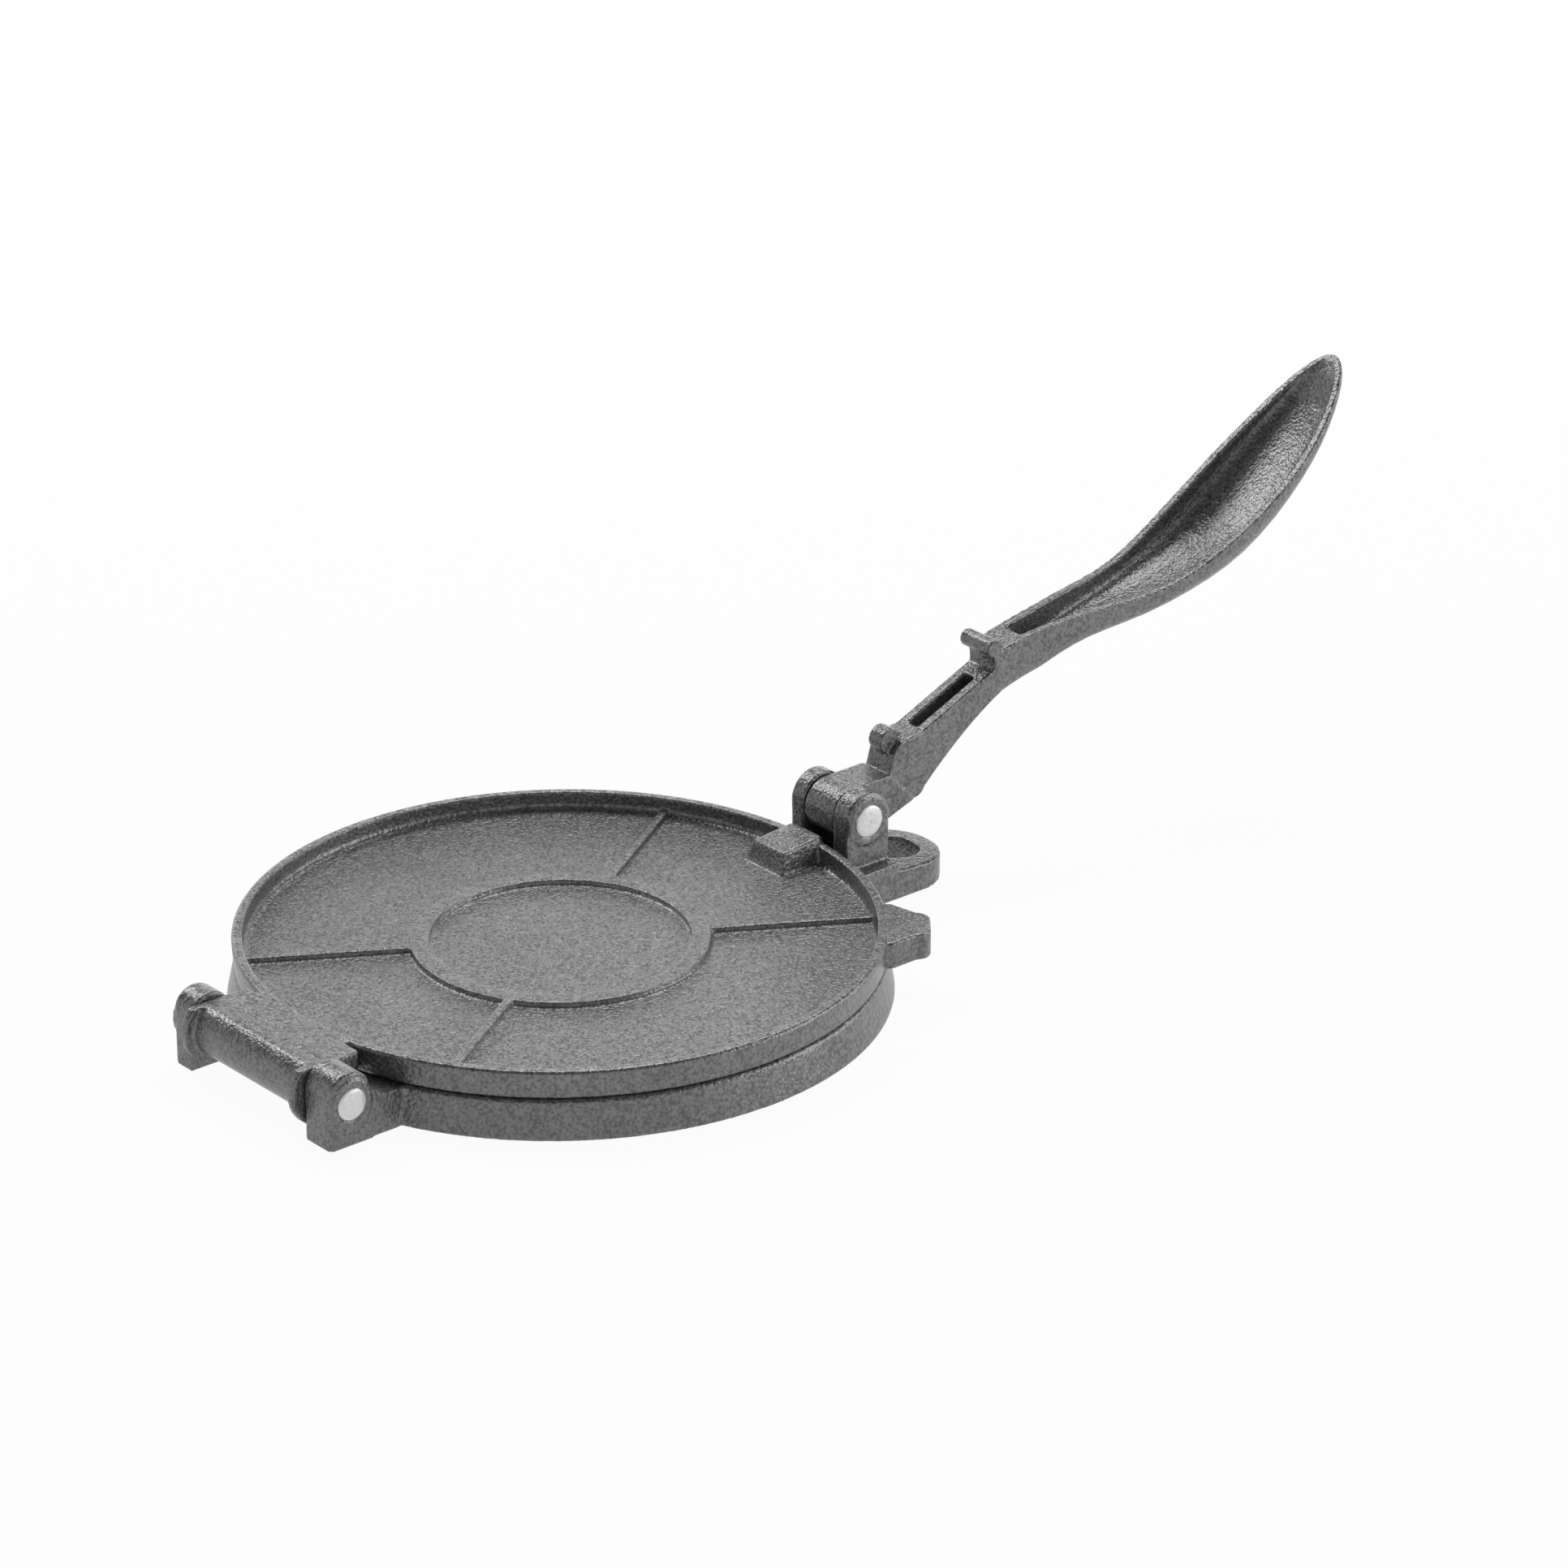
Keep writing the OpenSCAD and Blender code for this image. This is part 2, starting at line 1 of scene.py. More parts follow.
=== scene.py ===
"""Looks of a cast iron tortilla press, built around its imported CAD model.

The three castings are dressed copies of their CAD solids, with the rounded edges and
fillets that sand casting leaves. On the top plate the cross rib is also turned a little,
to where the real one lies. The two rivets are modelled afresh with peened heads.
Everything is in metres in the frame of the CAD model: Z up, the floor at z = 0, +X from
the plate's hinge to the lever, and both pins along Y.
"""

from __future__ import annotations

import json
import logging
import math
import random
from dataclasses import dataclass, field
from enum import Enum
from typing import Callable, Iterable

import bmesh
import bpy
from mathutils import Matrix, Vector

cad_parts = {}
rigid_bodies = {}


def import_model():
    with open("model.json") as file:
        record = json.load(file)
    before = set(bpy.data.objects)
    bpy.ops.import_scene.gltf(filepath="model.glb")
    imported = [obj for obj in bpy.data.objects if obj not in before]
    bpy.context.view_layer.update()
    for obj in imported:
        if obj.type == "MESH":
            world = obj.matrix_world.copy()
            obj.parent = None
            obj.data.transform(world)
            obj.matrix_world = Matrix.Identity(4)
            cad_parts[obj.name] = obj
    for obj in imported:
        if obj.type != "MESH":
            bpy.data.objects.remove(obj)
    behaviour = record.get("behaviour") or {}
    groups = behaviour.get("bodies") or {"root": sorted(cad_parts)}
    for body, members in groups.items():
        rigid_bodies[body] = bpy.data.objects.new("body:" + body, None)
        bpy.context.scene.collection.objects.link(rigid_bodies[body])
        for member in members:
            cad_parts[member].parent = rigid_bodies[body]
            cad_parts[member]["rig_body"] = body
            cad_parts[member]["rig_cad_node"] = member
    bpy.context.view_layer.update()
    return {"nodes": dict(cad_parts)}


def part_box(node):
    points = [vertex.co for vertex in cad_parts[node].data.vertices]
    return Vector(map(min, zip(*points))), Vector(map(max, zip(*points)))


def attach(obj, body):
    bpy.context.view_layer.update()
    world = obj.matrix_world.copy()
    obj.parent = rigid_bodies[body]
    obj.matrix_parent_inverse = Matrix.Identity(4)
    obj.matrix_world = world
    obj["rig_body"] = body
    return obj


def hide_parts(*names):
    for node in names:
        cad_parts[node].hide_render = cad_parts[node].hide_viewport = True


log = logging.getLogger("tortilla_press")

MM = 0.001
MM_PER_METRE = 1000.0

# The middle of the press, which the lamps face
LAMP_AIM = (0.04, 0.0, 0.03)

# The noises of the cast skin: their finer layers, the mix that makes the speckle, and the
# parts of their ranges that become 0 to 1
FINE_DETAIL = 1.0
SLOW_DETAIL = 2.0
LAYER_ROUGHNESS = 0.5
GRAIN_IN_SPECKLE = 0.7
LUMP_IN_SPECKLE = 0.3
SPECKLE_RANGE = (0.38, 0.62)
MOTTLE_RANGE = (0.3, 0.7)

# The rings of a hammered rivet head, from the shank outwards and over the crown: how far
# each draws in, as a share of the overhang, and stands out, as a share of the height
HEAD_RINGS = (
    (-0.94, 0.0),
    (-0.04, 0.3),
    (0.12, 0.22),
    (0.35, 0.22),
    (0.8, 0.14),
    (1.2, 0.06),
    (0.9, 0.0),
)


class Body(Enum):
    """The moving bodies of the press."""

    BASE = "base_body"
    PLATE = "plate_body"
    LEVER = "lever_body"


class Slot(Enum):
    """The material slots of the record."""

    CASTING = "casting"
    PIN_STEEL = "pin_steel"


# Selection and edit mode


def pick_only(obj: bpy.types.Object) -> None:
    """Selects one object alone and makes it active.

    Args:
        obj: The object that the next operators act on.
    """
    if bpy.context.object and bpy.context.object.mode != "OBJECT":
        bpy.ops.object.mode_set(mode="OBJECT")
    bpy.ops.object.select_all(action="DESELECT")
    obj.select_set(True)
    bpy.context.view_layer.objects.active = obj


def start_edit(obj: bpy.types.Object) -> None:
    """Opens an object in edit mode with nothing selected.

    Args:
        obj: The object to edit.
    """
    pick_only(obj)
    bpy.ops.object.mode_set(mode="EDIT")
    bpy.ops.mesh.select_all(action="DESELECT")


def end_edit() -> None:
    """Leaves edit mode."""
    bpy.ops.object.mode_set(mode="OBJECT")


def select_faces(
    obj: bpy.types.Object, test: Callable[[bmesh.types.BMFace], bool]
) -> None:
    """Selects the faces that pass a test, in edit mode.

    Args:
        obj: The object in edit mode.
        test: Says whether a face is wanted.
    """
    bpy.ops.mesh.select_mode(type="FACE")
    bpy.ops.mesh.select_all(action="DESELECT")
    mesh = bmesh.from_edit_mesh(obj.data)
    for face in mesh.faces:
        face.select_set(test(face))
    mesh.select_flush_mode()
    bmesh.update_edit_mesh(obj.data)


def select_corners(obj: bpy.types.Object, test: Callable[[Vector], bool]) -> int:
    """Selects the corners whose places pass a test, in edit mode.

    Args:
        obj: The object in edit mode.
        test: Says whether a place is wanted.

    Returns:
        How many corners are selected.
    """
    bpy.ops.mesh.select_mode(type="VERT")
    bpy.ops.mesh.select_all(action="DESELECT")
    mesh = bmesh.from_edit_mesh(obj.data)
    count = 0
    for vertex in mesh.verts:
        wanted = test(vertex.co)
        vertex.select_set(wanted)
        count += wanted
    bmesh.update_edit_mesh(obj.data)
    return count


def smooth_shade(obj: bpy.types.Object, angle: float) -> None:
    """Shades a piece smoothly, except across edges sharper than an angle in degrees."""
    pick_only(obj)
    bpy.ops.object.shade_smooth_by_angle(angle=math.radians(angle))


def apply_modifiers(obj: bpy.types.Object) -> None:
    """Applies every modifier of a piece in order.

    Args:
        obj: The piece.
    """
    pick_only(obj)
    for modifier in list(obj.modifiers):
        bpy.ops.object.modifier_apply(modifier=modifier.name)


# Shader node groups


def grey(value: float) -> tuple[float, float, float, float]:
    """Gives a neutral colour of one brightness, with full alpha."""
    return (value, value, value, 1.0)


@dataclass
class NodeGroup:
    """A shader node group with named inputs and outputs."""

    name: str
    inputs: dict[str, float]
    outputs: tuple[str, ...]
    tree: bpy.types.ShaderNodeTree = field(init=False)
    source: bpy.types.Node = field(init=False)
    sink: bpy.types.Node = field(init=False)

    def __post_init__(self) -> None:
        """Makes the empty group with its sockets."""
        self.tree = bpy.data.node_groups.new(self.name, "ShaderNodeTree")
        for label, value in self.inputs.items():
            socket = self.tree.interface.new_socket(
                name=label, in_out="INPUT", socket_type="NodeSocketFloat"
            )
            socket.default_value = value
        for label in self.outputs:
            self.tree.interface.new_socket(
                name=label, in_out="OUTPUT", socket_type="NodeSocketFloat"
            )
        self.source = self.tree.nodes.new("NodeGroupInput")
        self.sink = self.tree.nodes.new("NodeGroupOutput")

    def add(self, kind: str, **settings: object) -> bpy.types.Node:
        """Adds a node to the group.

        Args:
            kind: The node's type name.
            settings: Values for the node's own properties.

        Returns:
            The new node.
        """
        node = self.tree.nodes.new(kind)
        for key, value in settings.items():
            setattr(node, key, value)
        return node

    def join(self, start: bpy.types.NodeSocket, end: bpy.types.NodeSocket) -> None:
        """Links an output socket to an input socket."""
        self.tree.links.new(start, end)

    def maths(
        self,
        operation: str,
        a: bpy.types.NodeSocket | float,
        b: bpy.types.NodeSocket | float,
    ) -> bpy.types.NodeSocket:
        """Adds a math node on two values.

        Args:
            operation: The math operation.
            a: The first value or socket.
            b: The second value or socket.

        Returns:
            The result socket.
        """
        node = self.add("ShaderNodeMath", operation=operation)
        for index, value in enumerate((a, b)):
            if isinstance(value, (int, float)):
                node.inputs[index].default_value = value
            else:
                self.join(value, node.inputs[index])
        return node.outputs[0]

    def noise(
        self,
        place: bpy.types.NodeSocket,
        size: bpy.types.NodeSocket,
        detail: float,
    ) -> bpy.types.NodeSocket:
        """Adds a noise whose grain has a size in millimetres.

        Args:
            place: The coordinates.
            size: The socket with the grain size.
            detail: How many finer layers it has.

        Returns:
            The noise value.
        """
        node = self.add("ShaderNodeTexNoise")
        node.inputs["Detail"].default_value = detail
        node.inputs["Roughness"].default_value = LAYER_ROUGHNESS
        self.join(place, node.inputs["Vector"])
        self.join(self.maths("DIVIDE", MM_PER_METRE, size), node.inputs["Scale"])
        return node.outputs["Fac"]

    def stretch(
        self, value: bpy.types.NodeSocket, low: float, high: float
    ) -> bpy.types.NodeSocket:
        """Spreads part of a value's range over 0 to 1.

        Args:
            value: The value.
            low: What becomes 0.
            high: What becomes 1.

        Returns:
            The spread value.
        """
        node = self.add("ShaderNodeMapRange")
        node.inputs["From Min"].default_value = low
        node.inputs["From Max"].default_value = high
        self.join(value, node.inputs["Value"])
        return node.outputs["Result"]


def cast_skin_group() -> NodeGroup:
    """Makes the grain that sand casting leaves, from fine speckle to slow unevenness.

    Returns:
        A group that puts out a speckle, a mottle and a height, each about 0 to 1.
    """
    group = NodeGroup(
        "cast_skin",
        {
            "Grain size": 0.8,
            "Lump size": 2.6,
            "Mottle size": 30.0,
            "Lump share": 0.5,
        },
        ("Speckle", "Mottle", "Height"),
    )
    size = group.source.outputs
    place = group.add("ShaderNodeTexCoord").outputs["Object"]
    grain = group.noise(place, size["Grain size"], FINE_DETAIL)
    lump = group.noise(place, size["Lump size"], SLOW_DETAIL)
    mottle = group.noise(place, size["Mottle size"], SLOW_DETAIL)
    speckle = group.maths(
        "ADD",
        group.maths("MULTIPLY", grain, GRAIN_IN_SPECKLE),
        group.maths("MULTIPLY", lump, LUMP_IN_SPECKLE),
    )
    grain_share = group.maths("SUBTRACT", 1.0, size["Lump share"])
    height = group.maths(
        "ADD",
        group.maths("MULTIPLY", grain, grain_share),
        group.maths("MULTIPLY", lump, size["Lump share"]),
    )
    group.join(group.stretch(speckle, *SPECKLE_RANGE), group.sink.inputs["Speckle"])
    group.join(group.stretch(mottle, *MOTTLE_RANGE), group.sink.inputs["Mottle"])
    group.join(height, group.sink.inputs["Height"])
    return group


@dataclass
class Palette:
    """The shared node groups, built once."""

    cast_skin: NodeGroup = field(default_factory=cast_skin_group)


@dataclass(frozen=True)
class SkinFinish:
    """A metal whose colour, roughness and bump follow the cast skin."""

    name: str
    dark: float
    light: float
    metallic: float
    specular: float
    rough_low: float
    rough_high: float
    grain_mm: float
    lump_mm: float
    mottle_mm: float
    mottle_share: float
    lump_share: float
    bump: float
    bump_mm: float

    def build(self, palette: Palette) -> bpy.types.Material:
        """Makes the material.

        Args:
            palette: The shared node groups.

        Returns:
            The finished material.
        """
        material = bpy.data.materials.new(self.name)
        material.use_nodes = True
        tree = material.node_tree
        shader = tree.nodes["Principled BSDF"]
        shader.inputs["Metallic"].default_value = self.metallic
        shader.inputs["Specular IOR Level"].default_value = self.specular
        skin = tree.nodes.new("ShaderNodeGroup")
        skin.node_tree = palette.cast_skin.tree
        skin.inputs["Grain size"].default_value = self.grain_mm
        skin.inputs["Lump size"].default_value = self.lump_mm
        skin.inputs["Mottle size"].default_value = self.mottle_mm
        skin.inputs["Lump share"].default_value = self.lump_share

        tone = tree.nodes.new("ShaderNodeMix")
        tone.data_type = "FLOAT"
        tone.inputs["Factor"].default_value = self.mottle_share
        tree.links.new(skin.outputs["Speckle"], tone.inputs["A"])
        tree.links.new(skin.outputs["Mottle"], tone.inputs["B"])

        colour = tree.nodes.new("ShaderNodeMix")
        colour.data_type = "RGBA"
        colour.inputs["A"].default_value = grey(self.dark)
        colour.inputs["B"].default_value = grey(self.light)
        tree.links.new(tone.outputs["Result"], colour.inputs["Factor"])
        tree.links.new(colour.outputs["Result"], shader.inputs["Base Color"])

        rough = tree.nodes.new("ShaderNodeMapRange")
        rough.inputs["To Min"].default_value = self.rough_low
        rough.inputs["To Max"].default_value = self.rough_high
        tree.links.new(skin.outputs["Speckle"], rough.inputs["Value"])
        tree.links.new(rough.outputs["Result"], shader.inputs["Roughness"])

        bump = tree.nodes.new("ShaderNodeBump")
        bump.inputs["Strength"].default_value = self.bump
        bump.inputs["Distance"].default_value = self.bump_mm * MM
        tree.links.new(skin.outputs["Height"], bump.inputs["Height"])
        tree.links.new(bump.outputs["Normal"], shader.inputs["Normal"])
        return material


# Grey, semi-gloss cast iron with a fine speckle
CAST_IRON = SkinFinish(
    name="grey_cast_iron",
    dark=0.115,
    light=0.265,
    metallic=0.5,
    specular=0.5,
    rough_low=0.26,
    rough_high=0.38,
    grain_mm=1.07,
    lump_mm=2.7,
    mottle_mm=26.0,
    mottle_share=0.15,
    lump_share=0.3,
    bump=1.0,
    bump_mm=0.42,
)

# Bright steel with the dull dents of a peening hammer
PEENED_STEEL = SkinFinish(
    name="peened_steel",
    dark=0.76,
    light=0.95,
    metallic=0.4,
    specular=0.5,
    rough_low=0.3,
    rough_high=0.5,
    grain_mm=1.2,
    lump_mm=3.4,
    mottle_mm=8.0,
    mottle_share=0.3,
    lump_share=0.7,
    bump=0.5,
    bump_mm=0.35,
)


# The pieces


@dataclass
class Casting:
    """One iron casting, dressed from a copy of its CAD solid."""

    node: str
    name: str
    body: Body
    grid: float = 0.6 * MM
    soften_steps: int = 2
    soften_factor: float = 0.5
    flat_weight: int = 50
    weld: float = 0.004 * MM
    triangle_limit: int = 190_000

    def copy_solid(self, source: bpy.types.Object) -> bpy.types.Object:
        """Copies the CAD solid and merges its loose triangles.

        Args:
            source: The CAD node's object, which stays as it is.

        Returns:
            The new piece.
        """
        pick_only(source)
        bpy.ops.object.duplicate()
        piece = bpy.context.active_object
        piece.parent = None
        # The copy is a new piece, so it drops the marks of the CAD node
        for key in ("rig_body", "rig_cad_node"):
            if key in piece:
                del piece[key]
        piece.name = self.name
        piece.data.name = self.name
        start_edit(piece)
        bpy.ops.mesh.select_all(action="SELECT")
        bpy.ops.mesh.remove_doubles(threshold=self.weld)
        end_edit()
        return piece

    def cast_edges(self, piece: bpy.types.Object) -> None:
        """Gives the sharp solid the rounded edges and fillets of sand casting.

        Args:
            piece: The merged copy of the solid.
        """
        skin = piece.modifiers.new("skin", "REMESH")
        skin.mode = "VOXEL"
        skin.voxel_size = self.grid
        skin.adaptivity = 0.0
        soften = piece.modifiers.new("soften", "SMOOTH")
        soften.factor = self.soften_factor
        soften.iterations = self.soften_steps
        apply_modifiers(piece)
        triangles = 2 * len(piece.data.polygons)
        if triangles > self.triangle_limit:
            thin = piece.modifiers.new("thin", "DECIMATE")
            thin.ratio = self.triangle_limit / triangles
            apply_modifiers(piece)

    def shade_flats(self, piece: bpy.types.Object) -> None:
        """Shades the casting smoothly, with flats that stay flat up to their edges.

        Args:
            piece: The casting with its rounded edges.
        """
        pick_only(piece)
        bpy.ops.object.shade_smooth()
        flats = piece.modifiers.new("flats", "WEIGHTED_NORMAL")
        flats.mode = "FACE_AREA"
        flats.weight = self.flat_weight
        apply_modifiers(piece)

    def build(
        self, nodes: dict[str, bpy.types.Object], finish: bpy.types.Material
    ) -> bpy.types.Object:
        """Builds, dresses and registers the casting.

        Args:
            nodes: The CAD nodes by name.
            finish: The iron's material.

        Returns:
            The finished piece.
        """
        piece = self.copy_solid(nodes[self.node])
        self.cast_edges(piece)
        self.shade_flats(piece)
        piece.data.materials.clear()
        piece.data.materials.append(finish)
        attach(piece, self.body.value)
        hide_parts(self.node)
        log.info("%s: %d faces", self.name, len(piece.data.polygons))
        return piece


@dataclass
class PlateCasting(Casting):
    """The top plate, whose cross rib is turned to where the real one lies."""

    rib_angle: float = 33.4
    rib_turn: float = -1.8
    rib_half: float = 1.7 * MM
    rib_low: float = 16.8 * MM
    rib_high: float = 18.8 * MM
    ring_r: float = 47.5 * MM
    rim_r: float = 104.0 * MM

    def on_cross_rib(self, point: Vector) -> bool:
        """Says whether a corner belongs to the cross rib.

        Args:
            point: The corner.

        Returns:
            True for the corners of both arms of the rib.
        """
        angle = math.radians(self.rib_angle)
        aside = point.y * math.cos(angle) - point.x * math.sin(angle)
        return (
            abs(aside) < self.rib_half
            and self.rib_low < point.z < self.rib_high
            and self.ring_r < point.xy.length < self.rim_r
        )

    def copy_solid(self, source: bpy.types.Object) -> bpy.types.Object:
        """Copies the CAD solid and turns its cross rib about the plate's middle.

        Args:
            source: The CAD node's object, which stays as it is.

        Returns:
            The new piece.
        """
        piece = super().copy_solid(source)
        start_edit(piece)
        count = select_corners(piece, self.on_cross_rib)
        # Run without a window, the operator takes clockwise as positive
        bpy.ops.transform.rotate(
            value=-math.radians(self.rib_turn),
            orient_axis="Z",
            center_override=(0.0, 0.0, 0.0),
        )
        end_edit()
        log.info("cross rib: %d corners turned", count)
        return piece


@dataclass
class Rivet:
    """A steel pin with a hammered, slightly uneven head at each end."""

    node: str
    name: str
    seed: int
    shank_r: float = 4.0 * MM
    head_h: float = 1.5 * MM
    sides: int = 40
    end_facing: float = 0.9
    crease_angle: float = 50.0
    dent: float = 0.16 * MM
    dent_from: float = 0.1
    crown_dent: float = 0.5

    def build(
        self, nodes: dict[str, bpy.types.Object], finish: bpy.types.Material
    ) -> bpy.types.Object:
        """Models the rivet between the ends of its CAD node.

        Args:
            nodes: The CAD nodes by name.
            finish: The steel's material.

        Returns:
            The finished piece.
        """
        low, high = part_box(self.node)
        centre = (low + high) / 2
        head_r = (high.x - low.x) / 2
        length = high.y - low.y - 2 * self.head_h
        bpy.ops.object.select_all(action="DESELECT")
        bpy.ops.mesh.primitive_cylinder_add(
            vertices=self.sides,
            radius=self.shank_r,
            depth=length,
            end_fill_type="NGON",
            location=centre,
            rotation=(math.pi / 2, 0.0, 0.0),
        )
        piece = bpy.context.active_object
        piece.name = self.name
        piece.data.name = self.name
        bpy.ops.object.transform_apply(location=True, rotation=True, scale=True)
        start_edit(piece)
        for side in (-1.0, 1.0):
            self.peen(piece, side, head_r)
        end_edit()
        self.hammer(piece, centre, length / 2)
        smooth_shade(piece, self.crease_angle)
        piece.data.materials.append(finish)
        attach(piece, Body.BASE.value)
        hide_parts(self.node)
        log.info("%s: %d faces", self.name, len(piece.data.polygons))
        return piece

    def peen(self, piece: bpy.types.Object, side: float, head_r: float) -> None:
        """Spreads one end of the shank into a low, round-edged head.

        Args:
            piece: The rivet in edit mode.
            side: The end, -1 or 1 along Y.
            head_r: The radius of the head.
        """
        select_faces(piece, lambda face: face.normal.y * side > self.end_facing)
        overhang = head_r - self.shank_r
        for inwards, outwards in HEAD_RINGS:
            self.step(inwards * overhang, outwards * self.head_h, side)

    def step(self, inwards: float, outwards: float, side: float) -> None:
        """Adds one ring to the head.

        Args:
            inwards: How far the ring draws in, negative to spread.
            outwards: How far it stands out along Y.
            side: The end, -1 or 1 along Y.
        """
        bpy.ops.mesh.extrude_region_move(
            TRANSFORM_OT_translate={"value": (0.0, side * outwards, 0.0)}
        )
        mesh = bmesh.from_edit_mesh(bpy.context.active_object.data)
        points = [v for v in mesh.verts if v.select]
        centre = sum((v.co for v in points), Vector()) / len(points)
        reach = max((v.co - centre).length for v in points)
        share = (reach - inwards) / reach
        bpy.ops.transform.resize(
            value=(share, 1.0, share), center_override=tuple(centre)
        )

    def hammer(
        self, piece: bpy.types.Object, centre: Vector, half_length: float
    ) -> None:
        """Dents the heads inwards here and there, as a peening hammer does.

        Args:
            piece: The rivet in object mode.
            centre: The middle of the rivet.
            half_length: Half the length between the heads.
        """
        chance = random.Random(self.seed)
        for vertex in piece.data.vertices:
            past = abs(vertex.co.y - centre.y) - half_length
            if past > self.dent_from * self.head_h:
                outwards = vertex.co - centre
                outwards.y = 0.0
                side = math.copysign(1.0, vertex.co.y - centre.y)
                if outwards.length > 0.0:
                    vertex.co -= outwards.normalized() * chance.uniform(0.0, self.dent)
                vertex.co.y -= side * chance.uniform(0.0, self.crown_dent * self.dent)


# The studio


@dataclass(frozen=True)
class SoftLight:
    """One oblong studio lamp that faces the press."""

    name: str
    place: tuple[float, float, float]
    width: float
    height: float
    power: float

    def build(self) -> bpy.types.Object:
        """Adds the lamp.

        Returns:
            The lamp's object.
        """
        lamp = bpy.data.lights.new(self.name, "AREA")
        lamp.shape = "RECTANGLE"
        lamp.size = self.width
        lamp.size_y = self.height
        lamp.energy = self.power
        obj = bpy.data.objects.new(self.name, lamp)
        obj.location = self.place
        aim = Vector(LAMP_AIM) - Vector(self.place)
        obj.rotation_euler = aim.to_track_quat("-Z", "Y").to_euler()
        bpy.context.scene.collection.objects.link(obj)
        return obj


@dataclass
class Studio:
    """The pale floor, the lamps, the surrounding light and the camera."""

    camera_place: tuple[float, float, float] = (-1.19301, -1.5216, 0.95057)
    camera_yaw: float = -40.215
    camera_pitch: float = 24.449
    lens: float = 154.003
    sensor: float = 36.0
    near_clip: float = 0.05
    floor_size: float = 12.0
    floor_z: float = -0.1 * MM
    floor_colour: float = 0.86
    floor_glow: float = 0.95
    room_light: float = 0.14
    horizon: float = 1.0
    ceiling: float = 0.1
    horizon_top: float = 0.1
    ceiling_from: float = 0.65
    lamps: tuple[SoftLight, ...] = (
        SoftLight(
            name="key_light",
            place=(0.9, 0.75, 1.8),
            width=1.0,
            height=1.0,
            power=18.0,
        ),
        SoftLight(
            name="crown_light",
            place=(-0.1, 1.45, 1.5),
            width=0.7,
            height=0.7,
            power=14.0,
        ),
        SoftLight(
            name="back_panel",
            place=(1.36, 1.88, 0.27),
            width=3.2,
            height=0.5,
            power=9.0,
        ),
        SoftLight(
            name="side_light",
            place=(1.75, -1.3, 0.8),
            width=2.0,
            height=1.2,
            power=22.0,
        ),
    )

    def seen(self, tree: bpy.types.ShaderNodeTree) -> bpy.types.NodeSocket:
        """Adds a mask of the rays on which the white background is seen.

        Args:
            tree: The node tree of the floor or the world.

        Returns:
            A socket that is 1 for camera, glossy and clear rays.
        """
        path = tree.nodes.new("ShaderNodeLightPath")
        mask = path.outputs["Is Camera Ray"]
        for label in ("Is Glossy Ray", "Is Transmission Ray"):
            both = tree.nodes.new("ShaderNodeMath")
            both.operation = "MAXIMUM"
            tree.links.new(mask, both.inputs[0])
            tree.links.new(path.outputs[label], both.inputs[1])
            mask = both.outputs[0]
        return mask

    def build_floor(self) -> bpy.types.Object:
        """Adds the pale floor, which keeps a faint shadow of the press.

        Returns:
            The floor's object.
        """
        bpy.ops.object.select_all(action="DESELECT")
        bpy.ops.mesh.primitive_plane_add(
            size=self.floor_size, location=(0.0, 0.0, self.floor_z)
        )
        floor = bpy.context.active_object
        floor.name = "floor"
        bpy.ops.object.transform_apply(location=True, rotation=True, scale=True)
        material = bpy.data.materials.new("pale_floor")
        material.use_nodes = True
        tree = material.node_tree
        tree.nodes.remove(tree.nodes["Principled BSDF"])
        matt = tree.nodes.new("ShaderNodeBsdfDiffuse")
        matt.inputs["Color"].default_value = grey(self.floor_colour)
        glow = tree.nodes.new("ShaderNodeEmission")
        glow.inputs["Color"].default_value = grey(1.0)
        share = tree.nodes.new("ShaderNodeMath")
        share.operation = "MULTIPLY"
        share.inputs[1].default_value = self.floor_glow
        tree.links.new(self.seen(tree), share.inputs[0])
        mix = tree.nodes.new("ShaderNodeMixShader")
        tree.links.new(share.outputs[0], mix.inputs[0])
        tree.links.new(matt.outputs[0], mix.inputs[1])
        tree.links.new(glow.outputs[0], mix.inputs[2])
        tree.links.new(mix.outputs[0], tree.nodes["Material Output"].inputs["Surface"])
        floor.data.materials.append(material)
        return floor

    def build_world(self) -> None:
        """Sets a white background under a dark ceiling, in a dim room."""
        world = bpy.data.worlds.new("white_studio")
        bpy.context.scene.world = world
        world.use_nodes = True
        tree = world.node_tree
        background = tree.nodes["Background"]
        background.inputs["Color"].default_value = grey(1.0)
        place = tree.nodes.new("ShaderNodeTexCoord")
        split = tree.nodes.new("ShaderNodeSeparateXYZ")
        tree.links.new(place.outputs["Generated"], split.inputs[0])
        room = tree.nodes.new("ShaderNodeMapRange")
        room.interpolation_type = "SMOOTHSTEP"
        room.inputs["From Min"].default_value = self.horizon_top
        room.inputs["From Max"].default_value = self.ceiling_from
        room.inputs["To Min"].default_value = self.horizon
        room.inputs["To Max"].default_value = self.ceiling
        tree.links.new(split.outputs["Z"], room.inputs["Value"])
        level = tree.nodes.new("ShaderNodeMix")
        level.data_type = "FLOAT"
        level.inputs["A"].default_value = self.room_light
        tree.links.new(self.seen(tree), level.inputs["Factor"])
        tree.links.new(room.outputs["Result"], level.inputs["B"])
        tree.links.new(level.outputs["Result"], background.inputs["Strength"])

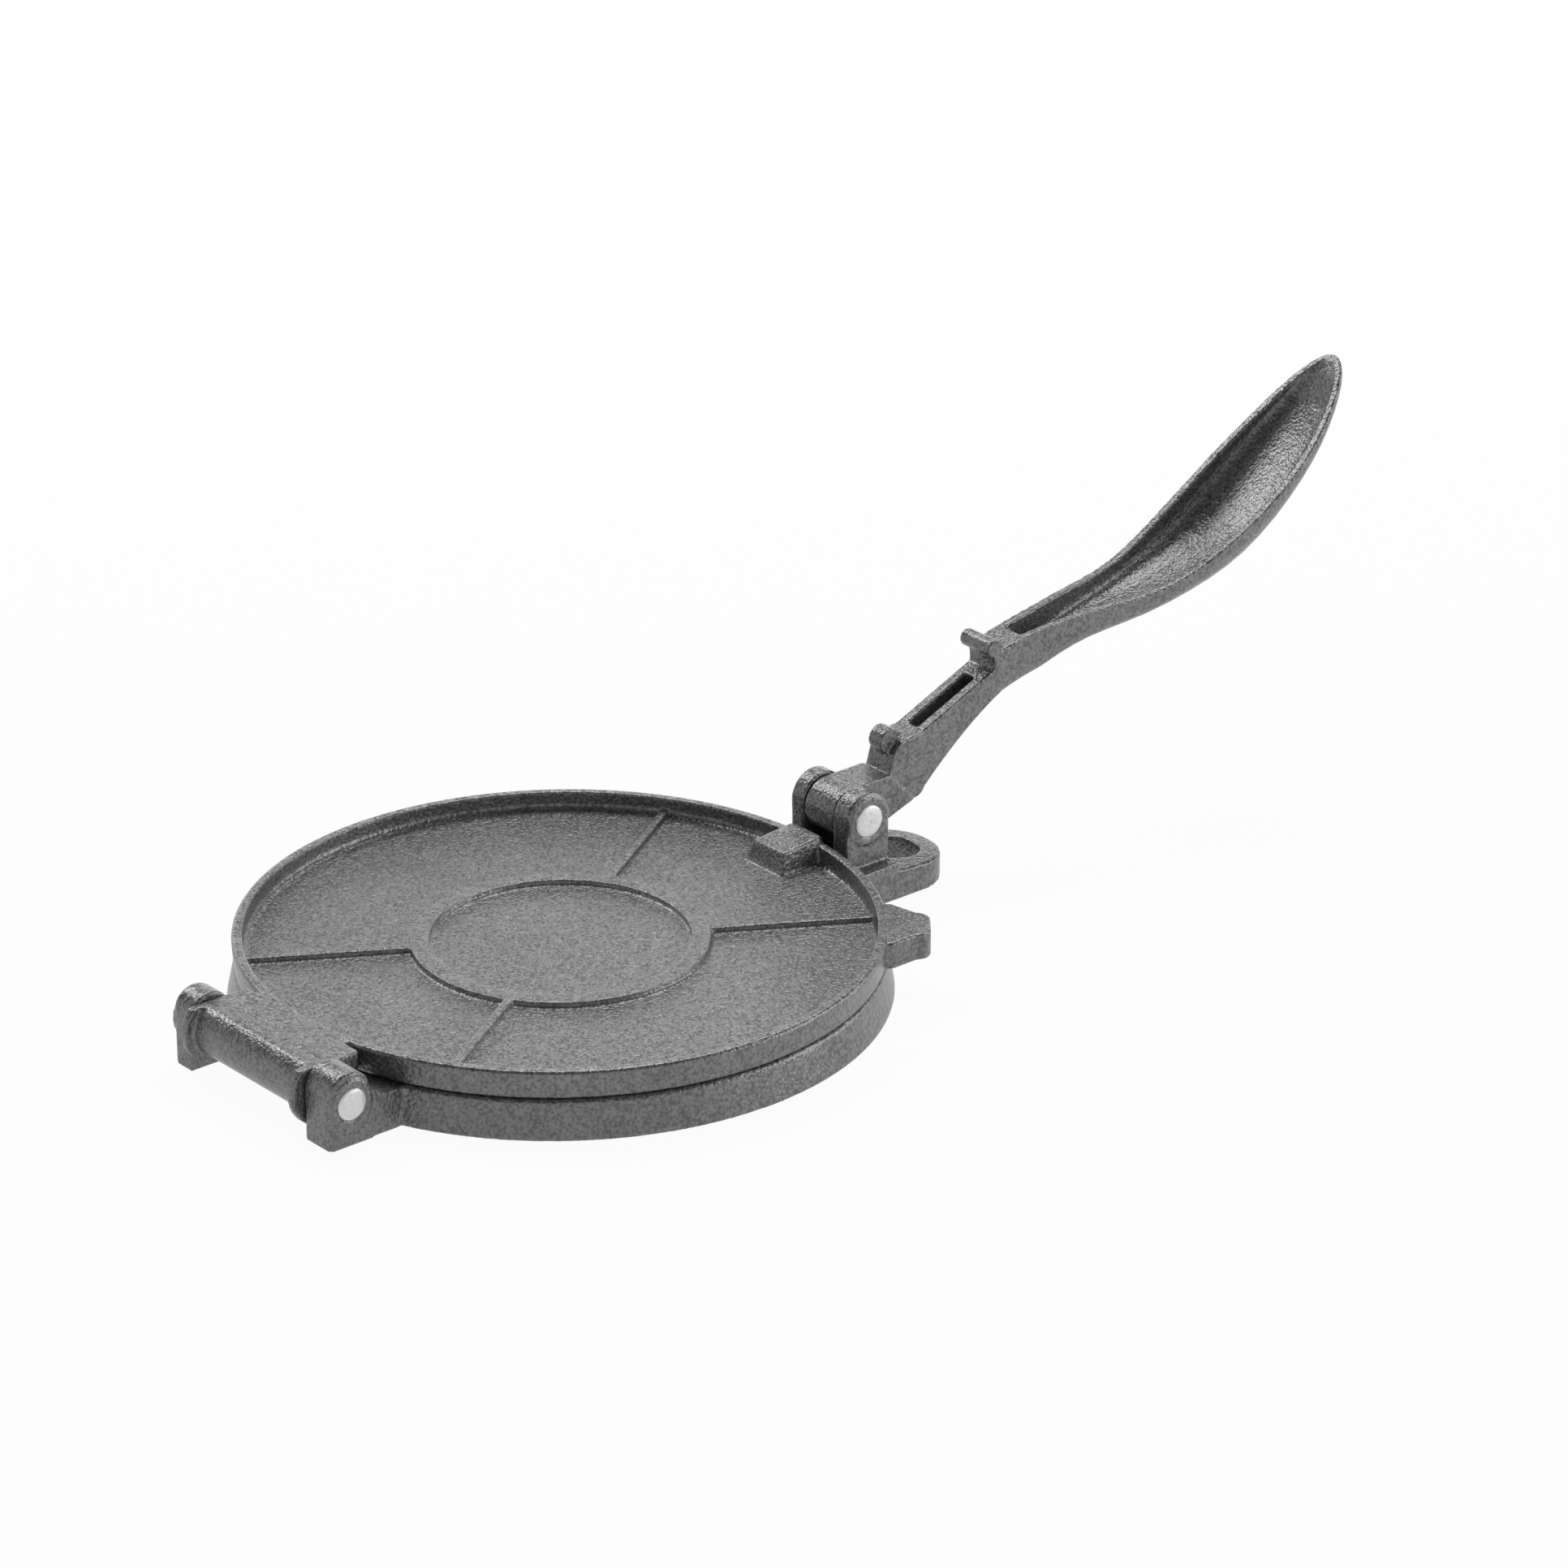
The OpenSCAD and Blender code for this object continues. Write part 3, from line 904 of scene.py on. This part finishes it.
    def build_camera(self) -> bpy.types.Object:
        """Adds the camera at the photograph's place and angle.

        Returns:
            The camera's object.
        """
        data = bpy.data.cameras.new("photo_camera")
        data.lens = self.lens
        data.sensor_width = self.sensor
        data.sensor_fit = "AUTO"
        data.clip_start = self.near_clip
        camera = bpy.data.objects.new("photo_camera", data)
        camera.location = self.camera_place
        camera.rotation_euler = (
            math.radians(90.0 - self.camera_pitch),
            0.0,
            math.radians(self.camera_yaw),
        )
        bpy.context.scene.collection.objects.link(camera)
        bpy.context.scene.camera = camera
        return camera

    def build(self) -> None:
        """Builds the whole studio."""
        bpy.context.scene.view_settings.view_transform = "Standard"
        self.build_floor()
        self.build_world()
        for lamp in self.lamps:
            lamp.build()
        self.build_camera()
        log.info("studio: %d lamps", len(self.lamps))


# The press


@dataclass
class TortillaPress:
    """The whole press: three castings and two rivets."""

    base: Casting = field(
        default_factory=lambda: Casting("base", "base_casting", Body.BASE)
    )
    plate: PlateCasting = field(
        default_factory=lambda: PlateCasting("top_plate", "plate_casting", Body.PLATE)
    )
    lever: Casting = field(
        default_factory=lambda: Casting(
            "lever", "lever_casting", Body.LEVER, grid=0.45 * MM, soften_steps=3
        )
    )
    hinge_rivet: Rivet = field(
        default_factory=lambda: Rivet("hinge_pin", "hinge_rivet", seed=5)
    )
    lever_rivet: Rivet = field(
        default_factory=lambda: Rivet("lever_pin", "lever_rivet", seed=8)
    )

    def build(self, nodes: dict[str, bpy.types.Object]) -> list[bpy.types.Object]:
        """Builds every piece.

        Args:
            nodes: The CAD nodes by name.

        Returns:
            The finished pieces.
        """
        palette = Palette()
        iron = CAST_IRON.build(palette)
        steel = PEENED_STEEL.build(palette)
        pieces = [
            casting.build(nodes, iron)
            for casting in (self.base, self.plate, self.lever)
        ]
        pieces += [
            rivet.build(nodes, steel) for rivet in (self.hinge_rivet, self.lever_rivet)
        ]
        for name, node in nodes.items():
            node.data.materials.clear()
            node.data.materials.append(steel if name.endswith("_pin") else iron)
        return pieces


def main() -> None:
    logging.basicConfig(level=logging.INFO, format="%(name)s: %(message)s")
    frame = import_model()
    TortillaPress().build(frame["nodes"])
    Studio().build()


if __name__ == "__main__":
    main()
